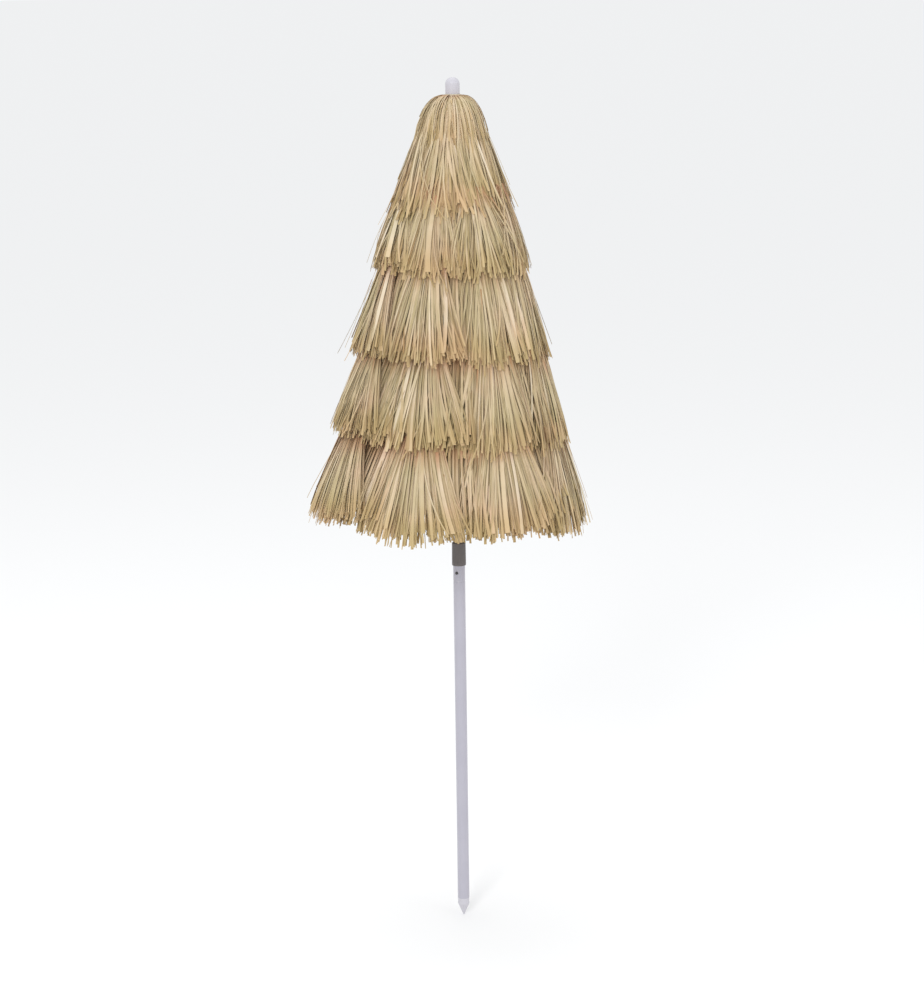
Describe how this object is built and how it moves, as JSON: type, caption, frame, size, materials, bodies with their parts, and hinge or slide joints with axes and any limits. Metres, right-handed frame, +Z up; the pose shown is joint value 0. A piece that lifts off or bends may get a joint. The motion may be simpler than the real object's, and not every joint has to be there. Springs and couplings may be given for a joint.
{
  "type": "beach umbrella",
  "caption": "Thatched beach umbrella, standing folded: raffia tiers on folding ribs, runner, two-part pole with spring button, and ground spike.",
  "frame": {"origin": "tip of the ground spike, on the pole's axis", "axes": "+Z up along the pole; -Y is the front, where one rib lies"},
  "size_m": [0.656, 0.656, 2],
  "materials": {
    "white_enamel": "gloss enamel",
    "white_plastic": "gloss",
    "collar_plastic": "gloss",
    "button_plastic": "gloss",
    "hub_plastic": "satin moulded",
    "zinc_wire": "zinc plated",
    "rib_enamel": "gloss enamel",
    "canopy_cloth": "plain weave",
    "raffia": "dry split fibre"
  },
  "bodies": {
    "lower_pole": {"lower_tube": "white_enamel", "ground_spike": "white_plastic", "pole_collar": "collar_plastic"},
    "upper_pole": {"upper_tube": "white_enamel", "upper_foot": "white_plastic", "leaf_springs": "zinc_wire", "crown_hub": "hub_plastic", "canopy_top": "raffia", "finial": "white_plastic"},
    "snap_button": {"snap_button": "button_plastic"},
    "runner_catch": {"runner_catch": "hub_plastic"},
    "runner": {"runner": "hub_plastic"},
    "rib_1": {"rib_1": "rib_enamel", "rib_fittings_1": "hub_plastic"},
    "stretcher_1": {"stretcher_1": "rib_enamel"},
    "gore_1": {"gore_1": "raffia"},
    "fringe_1": {"fringe_1": "raffia"},
    "rib_fringe_1": {"rib_fringe_1": "raffia"},
    "rib_2": {"rib_2": "rib_enamel", "rib_fittings_2": "hub_plastic"},
    "stretcher_2": {"stretcher_2": "rib_enamel"},
    "gore_2": {"gore_2": "raffia"},
    "fringe_2": {"fringe_2": "raffia"},
    "rib_fringe_2": {"rib_fringe_2": "raffia"},
    "rib_3": {"rib_3": "rib_enamel", "rib_fittings_3": "hub_plastic"},
    "stretcher_3": {"stretcher_3": "rib_enamel"},
    "gore_3": {"gore_3": "raffia"},
    "fringe_3": {"fringe_3": "raffia"},
    "rib_fringe_3": {"rib_fringe_3": "raffia"},
    "rib_4": {"rib_4": "rib_enamel", "rib_fittings_4": "hub_plastic"},
    "stretcher_4": {"stretcher_4": "rib_enamel"},
    "gore_4": {"gore_4": "raffia"},
    "fringe_4": {"fringe_4": "raffia"},
    "rib_fringe_4": {"rib_fringe_4": "raffia"},
    "rib_5": {"rib_5": "rib_enamel", "rib_fittings_5": "hub_plastic"},
    "stretcher_5": {"stretcher_5": "rib_enamel"},
    "gore_5": {"gore_5": "raffia"},
    "fringe_5": {"fringe_5": "raffia"},
    "rib_fringe_5": {"rib_fringe_5": "raffia"},
    "rib_6": {"rib_6": "rib_enamel", "rib_fittings_6": "hub_plastic"},
    "stretcher_6": {"stretcher_6": "rib_enamel"},
    "gore_6": {"gore_6": "raffia"},
    "fringe_6": {"fringe_6": "raffia"},
    "rib_fringe_6": {"rib_fringe_6": "raffia"},
    "rib_7": {"rib_7": "rib_enamel", "rib_fittings_7": "hub_plastic"},
    "stretcher_7": {"stretcher_7": "rib_enamel"},
    "gore_7": {"gore_7": "raffia"},
    "fringe_7": {"fringe_7": "raffia"},
    "rib_fringe_7": {"rib_fringe_7": "raffia"},
    "rib_8": {"rib_8": "rib_enamel", "rib_fittings_8": "hub_plastic"},
    "stretcher_8": {"stretcher_8": "rib_enamel"},
    "gore_8": {"gore_8": "raffia"},
    "fringe_8": {"fringe_8": "raffia"},
    "rib_fringe_8": {"rib_fringe_8": "raffia"}
  },
  "joints": [
    {"name": "pole_slide", "type": "slide", "parent": "lower_pole", "child": "upper_pole", "axis": [0, 0, 1], "range_m": [0, 0.11], "deforming": ["snap_button"]},
    {"name": "snap_button_press", "type": "slide", "parent": "upper_pole", "child": "snap_button", "axis": [0.4067, 0.9135, 0], "range_m": [0, 0.004], "stiffness_N_per_m": 600, "springref_m": -0.003, "deforming": ["leaf_springs"]},
    {"name": "runner_catch_press", "type": "slide", "parent": "upper_pole", "child": "runner_catch", "axis": [-0.3827, 0.9239, 0], "range_m": [0, 0.0055], "stiffness_N_per_m": 600, "springref_m": -0.003, "deforming": ["leaf_springs"]},
    {"name": "rib_1_fold", "type": "hinge", "parent": "upper_pole", "child": "rib_1", "pos_m": [0, -0.024, 1.926], "axis": [-1, 0, 0], "range_deg": [0, 58], "deforming": ["runner_catch"]},
    {"name": "stretcher_1_fold", "type": "hinge", "parent": "rib_1", "child": "stretcher_1", "pos_m": [0, -0.09115, 1.5114], "axis": [-1, 0, 0], "range_deg": [-116, 0]},
    {"name": "gore_1_fold", "type": "hinge", "parent": "upper_pole", "child": "gore_1", "pos_m": [0.00918, -0.02217, 1.926], "axis": [-0.9239, -0.3827, 0], "range_deg": [0, 55.1]},
    {"name": "fringe_1_hang", "type": "hinge", "parent": "gore_1", "child": "fringe_1", "pos_m": [0.09119, -0.22014, 1.05183], "axis": [-0.9239, -0.3827, 0], "range_deg": [-68.44, 0]},
    {"name": "rib_fringe_1_hang", "type": "hinge", "parent": "rib_1", "child": "rib_fringe_1", "pos_m": [0, -0.19365, 1.04209], "axis": [-1, 0, 0], "range_deg": [-68.44, 0]},
    {"name": "rib_2_fold", "type": "hinge", "parent": "upper_pole", "child": "rib_2", "pos_m": [0.01697, -0.01697, 1.926], "axis": [-0.7071, -0.7071, 0], "range_deg": [0, 58]},
    {"name": "stretcher_2_fold", "type": "hinge", "parent": "rib_2", "child": "stretcher_2", "pos_m": [0.06445, -0.06445, 1.5114], "axis": [-0.7071, -0.7071, 0], "range_deg": [-116, 0]},
    {"name": "gore_2_fold", "type": "hinge", "parent": "upper_pole", "child": "gore_2", "pos_m": [0.02217, -0.00918, 1.926], "axis": [-0.3827, -0.9239, 0], "range_deg": [0, 55.1]},
    {"name": "fringe_2_hang", "type": "hinge", "parent": "gore_2", "child": "fringe_2", "pos_m": [0.22014, -0.09119, 1.05183], "axis": [-0.3827, -0.9239, 0], "range_deg": [-68.44, 0]},
    {"name": "rib_fringe_2_hang", "type": "hinge", "parent": "rib_2", "child": "rib_fringe_2", "pos_m": [0.13693, -0.13693, 1.04209], "axis": [-0.7071, -0.7071, 0], "range_deg": [-68.44, 0]},
    {"name": "rib_3_fold", "type": "hinge", "parent": "upper_pole", "child": "rib_3", "pos_m": [0.024, 0, 1.926], "axis": [0, -1, 0], "range_deg": [0, 58]},
    {"name": "stretcher_3_fold", "type": "hinge", "parent": "rib_3", "child": "stretcher_3", "pos_m": [0.09115, 0, 1.5114], "axis": [0, -1, 0], "range_deg": [-116, 0]},
    {"name": "gore_3_fold", "type": "hinge", "parent": "upper_pole", "child": "gore_3", "pos_m": [0.02217, 0.00918, 1.926], "axis": [0.3827, -0.9239, 0], "range_deg": [0, 55.1]},
    {"name": "fringe_3_hang", "type": "hinge", "parent": "gore_3", "child": "fringe_3", "pos_m": [0.22014, 0.09119, 1.05183], "axis": [0.3827, -0.9239, 0], "range_deg": [-68.44, 0]},
    {"name": "rib_fringe_3_hang", "type": "hinge", "parent": "rib_3", "child": "rib_fringe_3", "pos_m": [0.19365, 0, 1.04209], "axis": [0, -1, 0], "range_deg": [-68.44, 0]},
    {"name": "rib_4_fold", "type": "hinge", "parent": "upper_pole", "child": "rib_4", "pos_m": [0.01697, 0.01697, 1.926], "axis": [0.7071, -0.7071, 0], "range_deg": [0, 58]},
    {"name": "stretcher_4_fold", "type": "hinge", "parent": "rib_4", "child": "stretcher_4", "pos_m": [0.06445, 0.06445, 1.5114], "axis": [0.7071, -0.7071, 0], "range_deg": [-116, 0]},
    {"name": "gore_4_fold", "type": "hinge", "parent": "upper_pole", "child": "gore_4", "pos_m": [0.00918, 0.02217, 1.926], "axis": [0.9239, -0.3827, 0], "range_deg": [0, 55.1]},
    {"name": "fringe_4_hang", "type": "hinge", "parent": "gore_4", "child": "fringe_4", "pos_m": [0.09119, 0.22014, 1.05183], "axis": [0.9239, -0.3827, 0], "range_deg": [-68.44, 0]},
    {"name": "rib_fringe_4_hang", "type": "hinge", "parent": "rib_4", "child": "rib_fringe_4", "pos_m": [0.13693, 0.13693, 1.04209], "axis": [0.7071, -0.7071, 0], "range_deg": [-68.44, 0]},
    {"name": "rib_5_fold", "type": "hinge", "parent": "upper_pole", "child": "rib_5", "pos_m": [0, 0.024, 1.926], "axis": [1, 0, 0], "range_deg": [0, 58]},
    {"name": "stretcher_5_fold", "type": "hinge", "parent": "rib_5", "child": "stretcher_5", "pos_m": [0, 0.09115, 1.5114], "axis": [1, 0, 0], "range_deg": [-116, 0]},
    {"name": "gore_5_fold", "type": "hinge", "parent": "upper_pole", "child": "gore_5", "pos_m": [-0.00918, 0.02217, 1.926], "axis": [0.9239, 0.3827, 0], "range_deg": [0, 55.1]},
    {"name": "fringe_5_hang", "type": "hinge", "parent": "gore_5", "child": "fringe_5", "pos_m": [-0.09119, 0.22014, 1.05183], "axis": [0.9239, 0.3827, 0], "range_deg": [-68.44, 0]},
    {"name": "rib_fringe_5_hang", "type": "hinge", "parent": "rib_5", "child": "rib_fringe_5", "pos_m": [0, 0.19365, 1.04209], "axis": [1, 0, 0], "range_deg": [-68.44, 0]},
    {"name": "rib_6_fold", "type": "hinge", "parent": "upper_pole", "child": "rib_6", "pos_m": [-0.01697, 0.01697, 1.926], "axis": [0.7071, 0.7071, 0], "range_deg": [0, 58]},
    {"name": "stretcher_6_fold", "type": "hinge", "parent": "rib_6", "child": "stretcher_6", "pos_m": [-0.06445, 0.06445, 1.5114], "axis": [0.7071, 0.7071, 0], "range_deg": [-116, 0]},
    {"name": "gore_6_fold", "type": "hinge", "parent": "upper_pole", "child": "gore_6", "pos_m": [-0.02217, 0.00918, 1.926], "axis": [0.3827, 0.9239, 0], "range_deg": [0, 55.1]},
    {"name": "fringe_6_hang", "type": "hinge", "parent": "gore_6", "child": "fringe_6", "pos_m": [-0.22014, 0.09119, 1.05183], "axis": [0.3827, 0.9239, 0], "range_deg": [-68.44, 0]},
    {"name": "rib_fringe_6_hang", "type": "hinge", "parent": "rib_6", "child": "rib_fringe_6", "pos_m": [-0.13693, 0.13693, 1.04209], "axis": [0.7071, 0.7071, 0], "range_deg": [-68.44, 0]},
    {"name": "rib_7_fold", "type": "hinge", "parent": "upper_pole", "child": "rib_7", "pos_m": [-0.024, 0, 1.926], "axis": [0, 1, 0], "range_deg": [0, 58]},
    {"name": "stretcher_7_fold", "type": "hinge", "parent": "rib_7", "child": "stretcher_7", "pos_m": [-0.09115, 0, 1.5114], "axis": [0, 1, 0], "range_deg": [-116, 0]},
    {"name": "gore_7_fold", "type": "hinge", "parent": "upper_pole", "child": "gore_7", "pos_m": [-0.02217, -0.00918, 1.926], "axis": [-0.3827, 0.9239, 0], "range_deg": [0, 55.1]},
    {"name": "fringe_7_hang", "type": "hinge", "parent": "gore_7", "child": "fringe_7", "pos_m": [-0.22014, -0.09119, 1.05183], "axis": [-0.3827, 0.9239, 0], "range_deg": [-68.44, 0]},
    {"name": "rib_fringe_7_hang", "type": "hinge", "parent": "rib_7", "child": "rib_fringe_7", "pos_m": [-0.19365, 0, 1.04209], "axis": [0, 1, 0], "range_deg": [-68.44, 0]},
    {"name": "rib_8_fold", "type": "hinge", "parent": "upper_pole", "child": "rib_8", "pos_m": [-0.01697, -0.01697, 1.926], "axis": [-0.7071, 0.7071, 0], "range_deg": [0, 58]},
    {"name": "stretcher_8_fold", "type": "hinge", "parent": "rib_8", "child": "stretcher_8", "pos_m": [-0.06445, -0.06445, 1.5114], "axis": [-0.7071, 0.7071, 0], "range_deg": [-116, 0]},
    {"name": "gore_8_fold", "type": "hinge", "parent": "upper_pole", "child": "gore_8", "pos_m": [-0.00918, -0.02217, 1.926], "axis": [-0.9239, 0.3827, 0], "range_deg": [0, 55.1]},
    {"name": "fringe_8_hang", "type": "hinge", "parent": "gore_8", "child": "fringe_8", "pos_m": [-0.09119, -0.22014, 1.05183], "axis": [-0.9239, 0.3827, 0], "range_deg": [-68.44, 0]},
    {"name": "rib_fringe_8_hang", "type": "hinge", "parent": "rib_8", "child": "rib_fringe_8", "pos_m": [-0.13693, -0.13693, 1.04209], "axis": [-0.7071, 0.7071, 0], "range_deg": [-68.44, 0]},
    {"name": "runner_turn", "type": "hinge", "parent": "stretcher_1", "child": "runner", "pos_m": [0, -0.024, 1.09681], "axis": [-1, 0, 0], "range_deg": [0, 58]}
  ],
  "couplings": [
    {"joint": "fringe_1_hang", "follows": "rib_1_fold", "ratio": -1.18},
    {"joint": "rib_fringe_1_hang", "follows": "rib_1_fold", "ratio": -1.18},
    {"joint": "stretcher_1_fold", "follows": "rib_1_fold", "ratio": -2},
    {"joint": "gore_1_fold", "follows": "rib_1_fold", "ratio": 0.95},
    {"joint": "fringe_2_hang", "follows": "rib_1_fold", "ratio": -1.18},
    {"joint": "rib_fringe_2_hang", "follows": "rib_1_fold", "ratio": -1.18},
    {"joint": "rib_2_fold", "follows": "rib_1_fold", "ratio": 1},
    {"joint": "stretcher_2_fold", "follows": "rib_1_fold", "ratio": -2},
    {"joint": "gore_2_fold", "follows": "rib_1_fold", "ratio": 0.95},
    {"joint": "fringe_3_hang", "follows": "rib_1_fold", "ratio": -1.18},
    {"joint": "rib_fringe_3_hang", "follows": "rib_1_fold", "ratio": -1.18},
    {"joint": "rib_3_fold", "follows": "rib_1_fold", "ratio": 1},
    {"joint": "stretcher_3_fold", "follows": "rib_1_fold", "ratio": -2},
    {"joint": "gore_3_fold", "follows": "rib_1_fold", "ratio": 0.95},
    {"joint": "fringe_4_hang", "follows": "rib_1_fold", "ratio": -1.18},
    {"joint": "rib_fringe_4_hang", "follows": "rib_1_fold", "ratio": -1.18},
    {"joint": "rib_4_fold", "follows": "rib_1_fold", "ratio": 1},
    {"joint": "stretcher_4_fold", "follows": "rib_1_fold", "ratio": -2},
    {"joint": "gore_4_fold", "follows": "rib_1_fold", "ratio": 0.95},
    {"joint": "fringe_5_hang", "follows": "rib_1_fold", "ratio": -1.18},
    {"joint": "rib_fringe_5_hang", "follows": "rib_1_fold", "ratio": -1.18},
    {"joint": "rib_5_fold", "follows": "rib_1_fold", "ratio": 1},
    {"joint": "stretcher_5_fold", "follows": "rib_1_fold", "ratio": -2},
    {"joint": "gore_5_fold", "follows": "rib_1_fold", "ratio": 0.95},
    {"joint": "fringe_6_hang", "follows": "rib_1_fold", "ratio": -1.18},
    {"joint": "rib_fringe_6_hang", "follows": "rib_1_fold", "ratio": -1.18},
    {"joint": "rib_6_fold", "follows": "rib_1_fold", "ratio": 1},
    {"joint": "stretcher_6_fold", "follows": "rib_1_fold", "ratio": -2},
    {"joint": "gore_6_fold", "follows": "rib_1_fold", "ratio": 0.95},
    {"joint": "fringe_7_hang", "follows": "rib_1_fold", "ratio": -1.18},
    {"joint": "rib_fringe_7_hang", "follows": "rib_1_fold", "ratio": -1.18},
    {"joint": "rib_7_fold", "follows": "rib_1_fold", "ratio": 1},
    {"joint": "stretcher_7_fold", "follows": "rib_1_fold", "ratio": -2},
    {"joint": "gore_7_fold", "follows": "rib_1_fold", "ratio": 0.95},
    {"joint": "fringe_8_hang", "follows": "rib_1_fold", "ratio": -1.18},
    {"joint": "rib_fringe_8_hang", "follows": "rib_1_fold", "ratio": -1.18},
    {"joint": "rib_8_fold", "follows": "rib_1_fold", "ratio": 1},
    {"joint": "stretcher_8_fold", "follows": "rib_1_fold", "ratio": -2},
    {"joint": "gore_8_fold", "follows": "rib_1_fold", "ratio": 0.95},
    {"joint": "runner_turn", "follows": "rib_1_fold", "ratio": 1}
  ]
}
